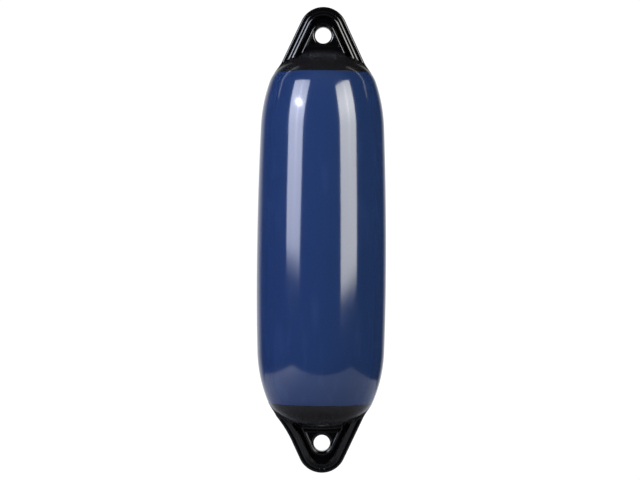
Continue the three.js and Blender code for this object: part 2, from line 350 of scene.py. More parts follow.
class TurnedTree:
    """Geometry nodes that turn a profile's points about Z and close the result."""

    def __init__(self) -> None:
        """Build the node tree once."""
        self.tree = bpy.data.node_groups.new("turned_about_axis", "GeometryNodeTree")
        face = self.tree.interface
        face.new_socket("Profile", in_out="INPUT", socket_type="NodeSocketGeometry")
        self.steps = face.new_socket("Steps round", in_out="INPUT", socket_type="NodeSocketInt")
        self.weld = face.new_socket("Weld distance", in_out="INPUT", socket_type="NodeSocketFloat")
        self.finish = face.new_socket("Finish", in_out="INPUT", socket_type="NodeSocketMaterial")
        face.new_socket("Solid", in_out="OUTPUT", socket_type="NodeSocketGeometry")
        self._wire()

    def _wire(self) -> None:
        """Join the nodes: a grid of profile points by steps, each point turned by its step."""
        nodes, links = self.tree.nodes, self.tree.links
        given, out = nodes.new("NodeGroupInput"), nodes.new("NodeGroupOutput")
        size = nodes.new("GeometryNodeAttributeDomainSize")
        links.new(given.outputs["Profile"], size.inputs["Geometry"])
        rows = maths(self.tree, "ADD", given.outputs["Steps round"], 1)
        grid = nodes.new("GeometryNodeMeshGrid")
        links.new(size.outputs["Point Count"], grid.inputs["Vertices X"])
        links.new(rows, grid.inputs["Vertices Y"])
        index = nodes.new("GeometryNodeInputIndex").outputs["Index"]
        along = maths(self.tree, "FLOOR", maths(self.tree, "DIVIDE", index, rows))
        step = maths(self.tree, "MODULO", index, rows)
        place = nodes.new("GeometryNodeInputPosition")
        sample = nodes.new("GeometryNodeSampleIndex")
        sample.data_type, sample.domain = "FLOAT_VECTOR", "POINT"
        links.new(given.outputs["Profile"], sample.inputs["Geometry"])
        links.new(place.outputs["Position"], sample.inputs["Value"])
        links.new(along, sample.inputs["Index"])
        whole = maths(self.tree, "MULTIPLY", step, math.tau)
        share = maths(self.tree, "DIVIDE", whole, given.outputs["Steps round"])
        turn = nodes.new("ShaderNodeVectorRotate")
        turn.rotation_type = "Z_AXIS"
        links.new(sample.outputs["Value"], turn.inputs["Vector"])
        links.new(share, turn.inputs["Angle"])
        moved = nodes.new("GeometryNodeSetPosition")
        links.new(grid.outputs["Mesh"], moved.inputs["Geometry"])
        links.new(turn.outputs["Vector"], moved.inputs["Position"])
        weld = nodes.new("GeometryNodeMergeByDistance")
        links.new(moved.outputs["Geometry"], weld.inputs["Geometry"])
        links.new(given.outputs["Weld distance"], weld.inputs["Distance"])
        real = nodes.new("GeometryNodeRealizeInstances")
        links.new(weld.outputs["Geometry"], real.inputs["Geometry"])
        dress = nodes.new("GeometryNodeSetMaterial")
        links.new(real.outputs["Geometry"], dress.inputs["Geometry"])
        links.new(given.outputs["Finish"], dress.inputs["Material"])
        links.new(dress.outputs["Geometry"], out.inputs["Solid"])

    def turn(self, name: str, profile: list[tuple[float, float]], steps: int,
             material: bpy.types.Material,
             place: Matrix | None = None, sharp_degrees: float = SHARP_DEGREES) -> bpy.types.Object:
        """Turn a closed profile about Z into a finished piece.

        Args:
            name: The piece's name.
            profile: Radius and height of each point, in metres.
            steps: Facets round the axis.
            material: The piece's finish.
            place: Where the piece's own axis lies in the fender's frame.
            sharp_degrees: Edges that bend more than this stay crisp.

        Returns:
            The piece, its place in its mesh.
        """
        line = bpy.data.meshes.new(f"{name}_profile")
        edges = [(i, i + 1) for i in range(len(profile) - 1)]
        line.from_pydata([(r, 0, z) for r, z in profile], edges, [])
        carrier = object_of(f"{name}_maker", line)
        modifier = carrier.modifiers.new("turned", "NODES")
        modifier.node_group = self.tree
        modifier[self.steps.identifier] = steps
        modifier[self.weld.identifier] = WELD_DISTANCE
        modifier[self.finish.identifier] = material
        held = carrier.evaluated_get(bpy.context.evaluated_depsgraph_get())
        mesh = bpy.data.meshes.new_from_object(held)
        mesh.name = name
        bpy.data.objects.remove(carrier)
        if place is not None:
            mesh.transform(place)
        piece = object_of(name, mesh)
        finish_mesh(piece, material, sharp_degrees)
        return piece


# Finishes


WAVE_DETAIL = 1.0
PEEL_DETAIL = 2.0
SCUFF_DETAIL = 6.0
CLOUD_DETAIL = 4.0
SCUFF_STRETCH = (1.0, 1.0, 0.22)
SCUFF_LEAN = (0.3, 0.5, 0.0)
SCUFF_BAND = (0.56, 0.78)


class SkinEffect:
    """Shader group shared by every moulded surface: waves, orange peel, fine scuffs and clouds."""

    def __init__(self) -> None:
        """Build the group once."""
        self.tree = bpy.data.node_groups.new("moulded_skin", "ShaderNodeTree")
        face = self.tree.interface
        for name in ("Wave scale", "Peel scale", "Peel share", "Scuff scale", "Scuff share"):
            face.new_socket(name, in_out="INPUT", socket_type="NodeSocketFloat")
        face.new_socket("Vector", in_out="INPUT", socket_type="NodeSocketVector")
        for name in ("Height", "Scuff", "Cloud"):
            face.new_socket(name, in_out="OUTPUT", socket_type="NodeSocketFloat")
        nodes, links = self.tree.nodes, self.tree.links
        given, out = nodes.new("NodeGroupInput"), nodes.new("NodeGroupOutput")
        wave = self._noise(given.outputs["Vector"], given.outputs["Wave scale"], WAVE_DETAIL)
        peel = self._noise(given.outputs["Vector"], given.outputs["Peel scale"], PEEL_DETAIL)
        height = maths(self.tree, "MULTIPLY_ADD", peel, given.outputs["Peel share"], wave)
        links.new(height, out.inputs["Height"])
        stretch = nodes.new("ShaderNodeMapping")
        stretch.inputs["Scale"].default_value = SCUFF_STRETCH
        stretch.inputs["Rotation"].default_value = SCUFF_LEAN
        links.new(given.outputs["Vector"], stretch.inputs["Vector"])
        scratch = self._noise(stretch.outputs["Vector"], given.outputs["Scuff scale"], SCUFF_DETAIL)
        band = ramp(self.tree, scratch, SCUFF_BAND)
        links.new(maths(self.tree, "MULTIPLY", band, given.outputs["Scuff share"]), out.inputs["Scuff"])
        cloud = self._noise(given.outputs["Vector"], given.outputs["Wave scale"], CLOUD_DETAIL)
        links.new(cloud, out.inputs["Cloud"])

    def _noise(self, vector: bpy.types.NodeSocket, scale: bpy.types.NodeSocket,
               detail: float) -> bpy.types.NodeSocket:
        """Add one noise texture.

        Args:
            vector: Where to read it.
            scale: Its scale socket.
            detail: How many finer layers it has.

        Returns:
            Its factor socket.
        """
        node = self.tree.nodes.new("ShaderNodeTexNoise")
        node.inputs["Detail"].default_value = detail
        self.tree.links.new(vector, node.inputs["Vector"])
        self.tree.links.new(scale, node.inputs["Scale"])
        return node.outputs["Fac"]


@dataclass(frozen=True)
class EyeLook:
    """How the rope eye, its dull pockets and its root pad differ from the dome. The eye is painted
    darker as shade and the root pad lighter as painted light, though all are one black plastic.
    """

    # Painted shade: the eye's colour is darker than the dome's, though both are the same plastic
    colour: Colour
    roughness: float
    specular: float
    pocket_specular: float
    # Painted light: the root pad's colour is lighter than the dome's, though both are the same plastic
    pad_colour: Colour


@dataclass(frozen=True)
class Finish:
    """One moulded finish: colours, gloss and the scale of its skin."""

    name: str
    colour: Colour
    cloud_colour: Colour
    scuff_colour: Colour
    roughness: float
    scuff_roughness: float
    specular: float
    wave_scale: float
    peel_scale: float
    peel_share: float
    scuff_scale: float
    scuff_share: float
    bump_distance: float
    bump_strength: float
    eye: EyeLook | None = None

    def material(self, skin: SkinEffect) -> bpy.types.Material:
        """Build the material.

        Args:
            skin: The shared shader group.

        Returns:
            The finished material.
        """
        made = bpy.data.materials.new(self.name)
        made.use_nodes = True
        tree = made.node_tree
        nodes, links = tree.nodes, tree.links
        shader = nodes["Principled BSDF"]
        where, group = nodes.new("ShaderNodeTexCoord"), nodes.new("ShaderNodeGroup")
        group.node_tree = skin.tree
        for name in ("wave_scale", "peel_scale", "peel_share", "scuff_scale", "scuff_share"):
            group.inputs[name.replace("_", " ").capitalize()].default_value = getattr(self, name)
        links.new(where.outputs["Object"], group.inputs["Vector"])
        scuff = group.outputs["Scuff"]
        tint = self._mix(tree, group.outputs["Cloud"], (*self.colour, 1), self.cloud_colour)
        base, gloss = self._mix(tree, scuff, tint, self.scuff_colour), self.roughness
        shader.inputs["Specular IOR Level"].default_value = self.specular
        if self.eye is not None:
            names = ("eye_share", "pocket_share", "pad_share")
            eye, pocket, pad = (self._mask(tree, name) for name in names)
            # Painted light and shade: the root pad gets a lighter colour and the eye a darker one than
            # the dome of the same plastic
            base = self._mix(tree, eye, self._mix(tree, pad, base, self.eye.pad_colour), self.eye.colour)
            gloss = ramp(tree, eye, made=(self.roughness, self.eye.roughness))
            shine = ramp(tree, eye, made=(self.specular, self.eye.specular))
            shine = ramp(tree, pocket, made=(shine, self.eye.pocket_specular))
            links.new(shine, shader.inputs["Specular IOR Level"])
        links.new(base, shader.inputs["Base Color"])
        dull = ramp(tree, scuff, made=(0.0, self.scuff_roughness - self.roughness))
        links.new(maths(tree, "ADD", gloss, dull), shader.inputs["Roughness"])
        bump = nodes.new("ShaderNodeBump")
        bump.inputs["Distance"].default_value = self.bump_distance
        bump.inputs["Strength"].default_value = self.bump_strength
        links.new(group.outputs["Height"], bump.inputs["Height"])
        links.new(bump.outputs["Normal"], shader.inputs["Normal"])
        return made

    @staticmethod
    def _mask(tree: bpy.types.NodeTree, name: str) -> bpy.types.NodeSocket:
        """Read one of the mesh's own masks.

        Args:
            tree: The material's tree.
            name: The attribute's name.

        Returns:
            The mask's socket.
        """
        node = tree.nodes.new("ShaderNodeAttribute")
        node.attribute_name = name
        return node.outputs["Fac"]

    @staticmethod
    def _mix(tree: bpy.types.NodeTree, share: bpy.types.NodeSocket, first: object,
             second: Colour) -> bpy.types.NodeSocket:
        """Mix two colours by a mask.

        Args:
            tree: The material's tree.
            share: The mask.
            first: A colour with its alpha, or a colour socket.
            second: The colour where the mask is full.

        Returns:
            The mixed colour's socket.
        """
        node = tree.nodes.new("ShaderNodeMix")
        node.data_type = "RGBA"
        feed(tree, share, node.inputs["Factor"])
        feed(tree, first, node.inputs[6])
        feed(tree, (*second, 1), node.inputs[7])
        return node.outputs[2]


NAVY_VINYL = Finish(
    name="navy_vinyl_skin", colour=(0.0067, 0.0162, 0.0535), cloud_colour=(0.0075, 0.0178, 0.0575),
    scuff_colour=(0.035, 0.06, 0.15), roughness=0.1, scuff_roughness=0.35, specular=0.5,
    wave_scale=14, peel_scale=420, peel_share=0.02, scuff_scale=70, scuff_share=0.12,
    bump_distance=0.0006, bump_strength=0.35)
BLACK_VINYL = Finish(
    name="black_vinyl_skin", colour=(0.0045, 0.0044, 0.005), cloud_colour=(0.0052, 0.0051, 0.0057),
    scuff_colour=(0.008, 0.008, 0.009), roughness=0.18, scuff_roughness=0.3, specular=0.5,
    wave_scale=30, peel_scale=300, peel_share=0.005, scuff_scale=90, scuff_share=0.1,
    bump_distance=0.0003, bump_strength=0.15,
    # The eye's colour is painted shade: darker than the dome of the same black plastic
    eye=EyeLook(colour=(0.0008, 0.0008, 0.001), roughness=0.1, specular=0.37, pocket_specular=0.08,
                # The pad's colour is painted light: lighter than the dome of the same black plastic
                pad_colour=(0.0088, 0.0088, 0.0104)))
GREY_NYLON = Finish(
    name="grey_nylon_skin", colour=(0.028, 0.029, 0.031), cloud_colour=(0.035, 0.036, 0.038),
    scuff_colour=(0.09, 0.09, 0.09), roughness=0.42, scuff_roughness=0.6, specular=0.5,
    wave_scale=80, peel_scale=1800, peel_share=0.3, scuff_scale=300, scuff_share=0.3,
    bump_distance=0.0001, bump_strength=0.4)
SEAL_RUBBER = Finish(
    name="seal_rubber_skin", colour=(0.016, 0.016, 0.016), cloud_colour=(0.022, 0.022, 0.022),
    scuff_colour=(0.05, 0.05, 0.05), roughness=0.75, scuff_roughness=0.85, specular=0.4,
    wave_scale=120, peel_scale=2500, peel_share=0.4, scuff_scale=300, scuff_share=0.2,
    bump_distance=0.0001, bump_strength=0.4)


# Distances of the moulded shapes


def round_cut(first: np.ndarray, second: np.ndarray, radius: float) -> np.ndarray:
    """Keep what two shapes share, with the edge between them rounded.

    Args:
        first: Distances to one shape.
        second: Distances to the other.
        radius: Radius of the rounded edge.

    Returns:
        Distances to the shared shape.
    """
    corner = np.hypot(np.maximum(first + radius, 0), np.maximum(second + radius, 0))
    return np.minimum(-radius, np.maximum(first, second)) + corner


def round_join(first: np.ndarray, second: np.ndarray, radius: float) -> np.ndarray:
    """Join two shapes, with a fillet in the corner between them.

    Args:
        first: Distances to one shape.
        second: Distances to the other.
        radius: Radius of the fillet.

    Returns:
        Distances to the joined shape.
    """
    return -round_cut(-first, -second, radius)


@dataclass(frozen=True)
class RopeEye:
    """Sizes of a rope eye and the distances that describe it, in an end's own frame."""

    outline: EndOutline
    pad_radius: float
    pad_height: float
    hole_to_tip: float
    offset: float = 0.0
    tip_radius: float = 0.028
    flank_tilt: float = 25
    lip_half: float = 0.0075
    lip_width: float = 0.004
    rim_half: float = 0.011
    rim_width: float = 0.007
    web_half: float = 0.0055
    boss_half: float = 0.0105
    boss_wall: float = 0.0052
    hole_radius: float = 0.0095
    hole_round: float = 0.0032
    lip_round: float = 0.0022
    rim_round: float = 0.0014
    rim_chamfer: float = 0.0053
    boss_round: float = 0.0022
    pocket_round: float = 0.0009
    foot_fillet: float = 0.0035
    step_fillet: float = 0.0009
    sink_wall: float = 0.0016
    sink_depth: float = 0.0014
    sink_reach: float = 0.0125
    sink_round: float = 0.0012
    pad_slope: float = 31
    pad_blend: float = 0.002
    pad_edge: float = 0.0022
    pad_reach: float = 0.038
    brim_slope: float = 0.0
    brim_radius: float = 0.0361
    brim_drop: float = 0.004
    flare: float = 0.0
    flare_start: float = 0.036
    flare_run: float = 0.0245
    wall: float = 0.007
    skirt: float = 0.0023
    gate_mark: bool = False

    @property
    def tip(self) -> float:
        """Height of the eye's tip over the widest ring.

        Returns:
            Metres.
        """
        return self.outline.crown_height + self.outline.eye_height

    def _wedge(self, x: np.ndarray, z: np.ndarray, centre: float, radius: float) -> np.ndarray:
        """Measure to the outline of a round tip over two widening flanks.

        Args:
            x: Distances across from the middle.
            z: Heights.
            centre: Height of the round tip's centre.
            radius: Radius of the round tip.

        Returns:
            Signed distances in the eye's plane.
        """
        tilt = math.radians(self.flank_tilt)
        across, up = np.abs(x), z - centre
        flank = across * math.cos(tilt) + up * math.sin(tilt)
        below = across * math.sin(tilt) - up * math.cos(tilt)
        return np.where(below > 0, flank, np.hypot(across, up)) - radius

    def _edge(self, x: np.ndarray, z: np.ndarray) -> np.ndarray:
        """Measure to the eye's outline, which flares out at the foot on one side.

        Args:
            x: Distances across the eye.
            z: Heights.

        Returns:
            Signed distances in the eye's plane.
        """
        share = np.clip((self.tip - self.flare_start - z) / self.flare_run, 0, FLARE_LIMIT)
        across = np.where(x > 0, np.maximum(x - self.flare * share ** 2, 0), x)
        return self._wedge(across, z, self.tip - self.tip_radius, self.tip_radius)

    def lug(self, x: np.ndarray, y: np.ndarray, z: np.ndarray) -> np.ndarray:
        """Measure to the rope eye alone, without its hole.

        Args:
            x: Distances across the eye.
            y: Distances through its thickness.
            z: Heights.

        Returns:
            Signed distances.
        """
        edge = self._edge(x, z)
        thick = np.abs(y)
        lip = round_cut(edge, thick - self.lip_half, self.lip_round)
        slope = (edge + self.lip_width + self.rim_chamfer + thick - self.rim_half) * math.sqrt(0.5)
        rim = round_cut(round_cut(slope, edge + self.lip_width, self.rim_round), thick - self.rim_half,
                        self.rim_round)
        body = round_join(lip, rim, self.step_fillet)
        pocket = round_cut(edge + self.lip_width + self.rim_width, self.web_half - thick,
                           self.pocket_round)
        body = round_cut(body, -pocket, self.pocket_round)
        middle = self.tip - self.hole_to_tip
        boss_edge = self._wedge(x, z, middle, self.hole_radius + self.boss_wall)
        boss = round_cut(boss_edge, thick - self.boss_half, self.boss_round)
        body = round_join(body, boss, self.pocket_round)
        sink = np.maximum(self._wedge(x, z, middle, self.hole_radius + self.sink_wall),
                          middle - self.sink_reach - z)
        sink = np.maximum(sink, self.boss_half - self.sink_depth - thick)
        return round_cut(body, -sink, self.sink_round)

    def pocket_share(self, points: np.ndarray) -> np.ndarray:
        """Tell how much each point lies in the dull hollow between the rim and the boss.

        Args:
            points: Rows of X, Y and Z, with heights over the widest ring.

        Returns:
            Shares from 0 to 1.
        """
        x, _, z = points.T
        across = x - self.offset
        edge = self._edge(across, z)
        boss = self._wedge(across, z, self.tip - self.hole_to_tip, self.hole_radius + self.boss_wall)
        inside = np.clip((POCKET_MARGIN - edge - self.lip_width - self.rim_width) / POCKET_RAMP, 0, 1)
        return inside * np.clip(boss / POCKET_RAMP, 0, 1) * self.eye_share(points)

    def root(self, radius: np.ndarray, z: np.ndarray) -> np.ndarray:
        """Measure to the low cone that the eye stands on.

        Args:
            radius: Distances from the fender's axis.
            z: Heights.

        Returns:
            Signed distances.
        """
        slope = math.radians(self.pad_slope)
        top = z - (self.outline.crown_height + self.pad_height)
        cone = (radius - self.pad_radius) * math.sin(slope) + top * math.cos(slope)
        raised = round_cut(top, cone, self.pad_edge)
        if self.brim_slope:
            steep = math.radians(self.brim_slope)
            brim = ((radius - self.brim_radius) * math.sin(steep)
                    + (top + self.brim_drop) * math.cos(steep))
            raised = round_cut(raised, brim, self.pad_edge)
        return np.maximum(raised, radius - self.pad_reach)

    def distance(self, points: np.ndarray) -> np.ndarray:
        """Measure to the whole moulded end.

        Args:
            points: Rows of X, Y and Z, with heights over the widest ring.

        Returns:
            Signed distances.
        """
        x, y, z = points.T
        radius = np.hypot(x, y)
        dome, tilt = self.outline.distance(radius, z)
        outside = round_join(dome, self.root(radius, z), self.pad_blend)
        across = x - self.offset
        outside = round_join(outside, self.lug(across, y, z), self.foot_fillet)
        hole = np.hypot(across, z - (self.tip - self.hole_to_tip)) - self.hole_radius
        outside = round_cut(outside, -hole, self.hole_round)
        if self.gate_mark:
            outside = np.maximum(outside, -self._gate(across, y, z))
        step = self.outline.tongue + SEAM_GAP / self.outline.shoulder_radius
        share = np.clip((tilt - step) / math.radians(WALL_STEP_DEGREES), 0, 1)
        depth = self.skirt + (self.wall - self.skirt) * share
        return np.maximum(outside, -(dome + depth))

    def _gate(self, x: np.ndarray, y: np.ndarray, z: np.ndarray) -> np.ndarray:
        """Measure to the small oval mark of the mould's gate, in the face near the tip.

        Args:
            x: Distances across the eye.
            y: Distances through its thickness.
            z: Heights.

        Returns:
            Signed distances.
        """
        up = (z - (self.tip - GATE_TO_TIP)) * GATE_STRETCH
        return np.hypot(np.hypot(x, up) * GATE_FLATTEN, y + self.lip_half) - GATE_DEPTH

    def eye_share(self, points: np.ndarray) -> np.ndarray:
        """Tell how much each point belongs to the glossier eye rather than the satin dome; the same mask
        carries the eye's darker colour, which is painted shade.

        Args:
            points: Rows of X, Y and Z, with heights over the widest ring.

        Returns:
            Shares from 0 to 1.
        """
        x, y, z = points.T
        radius = np.hypot(x, y)
        dome, _ = self.outline.distance(radius, z)
        base = round_join(dome, self.root(radius, z), self.pad_blend)
        return np.clip(base / EYE_GLOSS_RAMP, 0, 1)

    def pad_share(self, points: np.ndarray) -> np.ndarray:
        """Tell how much each point belongs to the pad at the eye's root, which is given a lighter colour
        as painted light.

        Args:
            points: Rows of X, Y and Z, with heights over the widest ring.

        Returns:
            Shares from 0 to 1.
        """
        x, y, z = points.T
        dome, _ = self.outline.distance(np.hypot(x, y), z)
        return np.clip(dome / PAD_RAMP, 0, 1)


GATE_TO_TIP = 0.0048
GATE_STRETCH = 3.2
GATE_FLATTEN = 0.3
GATE_DEPTH = 0.001
FLARE_LIMIT = 1.2
WALL_STEP_DEGREES = 9
EYE_GLOSS_RAMP = 0.0012
PAD_RAMP = 0.0015
POCKET_MARGIN = 0.0012
POCKET_RAMP = 0.0006
GRID_STEP = 0.00065
FINE_STEP = 0.0005
COARSE_STEP = 0.0014
DEPTH_STEP = 0.0006
FOOT_STEP = 0.0011
NEWTON_STEPS = 3
SAMPLE_STEP = 2e-5
LEAST_SLOPE = 0.25
TINY = 1e-9


def ruler(stops: list[float], steps: list[float]) -> np.ndarray:
    """Mark places along a line, with a spacing of its own in each stretch.

    Args:
        stops: Where the stretches begin and end, rising.
        steps: The widest spacing in each stretch.

    Returns:
        The places, rising.
    """
    marks = [np.linspace(start, stop, math.ceil((stop - start) / step) + 1)[:-1]
             for start, stop, step in zip(stops, stops[1:], steps)]
    return np.append(np.concatenate(marks), stops[-1])


def surface_net(field_of: Callable[[np.ndarray], np.ndarray],
                axes: list[np.ndarray]) -> tuple[np.ndarray, np.ndarray]:
    """Draw a mesh where a distance field is zero.

    Args:
        field_of: Gives the signed distance of rows of points.
        axes: Places of the grid's planes along X, Y and Z.

    Returns:
        Points and four-sided faces.
    """
    counts = np.array([axis.size for axis in axes])
    values = np.empty(counts)
    for i, across in enumerate(axes[0]):
        second, third = np.meshgrid(axes[1], axes[2], indexing="ij")
        rows = np.stack([np.full(second.size, across), second.ravel(), third.ravel()], 1)
        values[i] = field_of(rows).reshape(second.shape)
    cells = counts - 1
    total, hits = np.zeros((cells.prod(), 3)), np.zeros(cells.prod())
    quads = []
    for axis in range(3):
        others = [i for i in range(3) if i != axis]
        lower = np.take(values, range(counts[axis] - 1), axis)
        upper = np.take(values, range(1, counts[axis]), axis)
        spots = np.argwhere((lower < 0) != (upper < 0))
        inner = np.all([(spots[:, i] > 0) & (spots[:, i] < cells[i]) for i in others], axis=0)
        spots = spots[inner]
        first, second = lower[tuple(spots.T)], upper[tuple(spots.T)]
        crossing = spots.astype(float)
        crossing[:, axis] += first / (first - second)
        ring = []
        for back in ((0, 0), (1, 0), (1, 1), (0, 1)):
            cell = spots.copy()
            cell[:, others[0]] -= back[0]
            cell[:, others[1]] -= back[1]
            flat = np.ravel_multi_index(cell.T, cells)
            ring.append(flat)
            np.add.at(total, flat, crossing)
            np.add.at(hits, flat, 1)
        faces = np.stack(ring, 1)
        turned_over = (first < 0) if axis == 1 else (first >= 0)
        faces[turned_over] = faces[turned_over, ::-1]
        quads.append(faces)
    used = np.flatnonzero(hits)
    numbers = np.full(cells.prod(), -1)
    numbers[used] = np.arange(used.size)
    spots = total[used] / hits[used, None]
    points = np.stack([np.interp(spots[:, i], np.arange(axes[i].size), axes[i]) for i in range(3)], 1)
    return points, numbers[np.concatenate(quads)]


def slope_of(points: np.ndarray, field_of: Callable[[np.ndarray], np.ndarray]) -> np.ndarray:
    """Measure the field's slope at points.

    Args:
        points: Rows of X, Y and Z.
        field_of: Gives the signed distance of rows of points.

    Returns:
        Rows of the slope along X, Y and Z.
    """
    slope = np.empty_like(points)
    for axis in range(3):
        nudge = np.zeros(3)
        nudge[axis] = SAMPLE_STEP
        slope[:, axis] = (field_of(points + nudge) - field_of(points - nudge)) / (2 * SAMPLE_STEP)
    return slope


def settle(points: np.ndarray, field_of: Callable[[np.ndarray], np.ndarray]) -> np.ndarray:
    """Move points along the field's slope until they lie on its zero surface.

    Args:
        points: Rows of X, Y and Z near the surface.
        field_of: Gives the signed distance of rows of points.

    Returns:
        The moved points.
    """
    for _ in range(NEWTON_STEPS):
        here, slope = field_of(points), slope_of(points, field_of)
        steep = np.maximum((slope ** 2).sum(1), LEAST_SLOPE)
        move = slope * (here / steep)[:, None]
        reach = np.linalg.norm(move, axis=1, keepdims=True)
        points = points - move * np.minimum(1, GRID_STEP / np.maximum(reach, TINY))
    return points


# Sub-assemblies


@dataclass
class AirBody:
    """The hollow soft body, from one colour line to the other."""

    steps_round: int = 192
    degrees: float = 2.0
    inside_degrees: float = 6.0
    tongue_depth: float = 0.0026
    sharp_degrees: float = 40

    def profile(self) -> list[tuple[float, float]]:
        """List the closed section, in the fender's frame.

        Returns:
            Radius and height of each point, the first repeated at the end.
        """
        sides = []
        for outline in (LOWER_OUTLINE, UPPER_OUTLINE):
            outside = outline.run(0, outline.seam, 0, self.degrees)
            outside += outline.run(outline.seam, outline.tongue, self.tongue_depth, self.degrees)
            inside = outline.run(0, outline.tongue, BODY_WALL, self.inside_degrees)
            lift = outline.side.value
            sides.append([[(r, lift * z - BELLY_DROP) for r, z in run] for run in (outside, inside)])
        (low_out, low_in), (top_out, top_in) = sides
        ring = low_out[::-1] + top_out[1:] + top_in[::-1] + low_in[1:]
        return ring + ring[:1]

    def build(self, turned: TurnedTree, skin: SkinEffect) -> list[bpy.types.Object]:
        """Make the body.

        Args:
            turned: Maker of turned solids.
            skin: The shared shader group.

        Returns:
            The finished piece.
        """
        navy = NAVY_VINYL.material(skin)
        piece = turned.turn("air_body", self.profile(), self.steps_round, navy,
                            sharp_degrees=self.sharp_degrees)
        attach(piece, "fender")
        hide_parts("body_shell")
        return [piece]


@dataclass
class MouldedEnd:
    """One black moulded end: dome, root and rope eye in one piece."""

    name: str
    node: str
    eye: RopeEye
    margin: float = 0.003
    below_seam: float = 0.004
    sharp_degrees: float = 60

    def build(self, material: bpy.types.Material,
              pocket: "ValvePocket | None") -> list[bpy.types.Object]:
        """Make the end and cut it level at the colour line.

        Args:
            material: Its finish.
            pocket: The round hole for the valve, on the upper end only.

        Returns:
            The finished piece.
        """
        outline = self.eye.outline
        seam_radius, seam_height = outline.point(outline.seam)
        reach = seam_radius + self.margin
        front = self.eye.boss_half + self.margin
        foot = outline.crown_height + self.eye.pad_height
        axes = [ruler([-reach, reach], [GRID_STEP]),
                ruler([-reach, -front, front, reach], [COARSE_STEP, DEPTH_STEP, COARSE_STEP]),
                ruler([seam_height - self.below_seam, foot, self.eye.tip + self.margin],
                      [FOOT_STEP, FINE_STEP])]

        def shape(rows: np.ndarray) -> np.ndarray:
            """Measure to the end with its valve pocket.

            Args:
                rows: Rows of X, Y and Z, with heights over the widest ring.

            Returns:
                Signed distances.
            """
            solid = self.eye.distance(rows)
            if pocket is None:
                return solid
            return round_cut(solid, -pocket.distance(rows), pocket.edge_round)

        points, faces = surface_net(shape, axes)
        points = settle(points, shape)
        mesh = mesh_of(self.name, points, faces)
        for share in (self.eye.eye_share, self.eye.pad_share, self.eye.pocket_share):
            mask = mesh.attributes.new(share.__name__, "FLOAT", "POINT")
            mask.data.foreach_set("value", share(points).astype(np.float32))
        self._trim(mesh, seam_height + SEAM_GAP)
        piece = object_of(self.name, mesh)
        finish_mesh(piece, material, self.sharp_degrees)
        place = Matrix.Translation((0, 0, -BELLY_DROP))
        if outline.side is Side.LOWER:
            place = place @ Matrix.Rotation(math.pi, 4, "Y")
        self._place(piece.data, place, shape)
        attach(piece, "fender")
        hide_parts(self.node)
        return [piece]

    @staticmethod
    def _place(mesh: bpy.types.Mesh, place: Matrix, shape: Callable[[np.ndarray], np.ndarray]) -> None:
        """Move the mesh to its place and give it the shape's own smooth normals.

        Args:
            mesh: The mesh, changed in place.
            place: From the end's own frame to the fender's.
            shape: Distances to the end, in the end's own frame.
        """
        points = np.empty(len(mesh.vertices) * 3)
        mesh.vertices.foreach_get("co", points)
        slope = slope_of(points.reshape(-1, 3), shape) @ np.array(place.to_3x3()).T
        slope /= np.maximum(np.linalg.norm(slope, axis=1, keepdims=True), TINY)
        mesh.transform(place)
        mesh.normals_split_custom_set_from_vertices(slope.tolist())

    @staticmethod
    def _trim(mesh: bpy.types.Mesh, height: float) -> None:
        """Cut the mesh level at a height and close the ring that the cut leaves.

        Args:
            mesh: The mesh, changed in place.
            height: Where to cut; what is below goes.
        """
        shape = bmesh.new()
        shape.from_mesh(mesh)
        everything = shape.verts[:] + shape.edges[:] + shape.faces[:]
        bmesh.ops.bisect_plane(shape, geom=everything, dist=SAME_PLACE, plane_co=(0, 0, height),
                               plane_no=(0, 0, 1), clear_inner=True)
        rim = [e for e in shape.edges if e.is_boundary]
        bmesh.ops.bridge_loops(shape, edges=rim)
        bmesh.ops.triangulate(shape, faces=[f for f in shape.faces if len(f.verts) > 4])
        shape.to_mesh(mesh)
        shape.free()


@dataclass(frozen=True)
class ValvePocket:
    """The stepped round hole in the back of the upper end that takes the air valve."""

    tilt: float = 21
    flange_radius: float = 0.0101
    floor_depth: float = 0.0053
    passage_radius: float = 0.0064
    edge_round: float = 0.0005

    def place(self) -> Matrix:
        """Give the valve's own axis and origin in the upper end's frame, over the widest ring.

        Returns:
            The valve's place.
        """
        radius, height = UPPER_OUTLINE.point(math.pi / 2 - math.radians(self.tilt))
        tilted = Matrix.Rotation(-math.radians(self.tilt), 4, "X")
        return Matrix.Translation((0, radius, height)) @ tilted

    def place_in_fender(self) -> Matrix:
        """Give the valve's own axis and origin in the fender's frame.

        Returns:
            The valve's place.
        """
        return Matrix.Translation((0, 0, -BELLY_DROP)) @ self.place()

    def distance(self, rows: np.ndarray) -> np.ndarray:
        """Measure to the hole.

        Args:
            rows: Rows of X, Y and Z in the upper end's frame.

        Returns:
            Signed distances.
        """
        back = np.array(self.place().inverted())
        local = rows @ back[:3, :3].T + back[:3, 3]
        radius = np.hypot(local[:, 0], local[:, 1])
        wide = np.maximum(radius - self.flange_radius, -self.floor_depth - local[:, 2])
        return np.minimum(wide, radius - self.passage_radius)


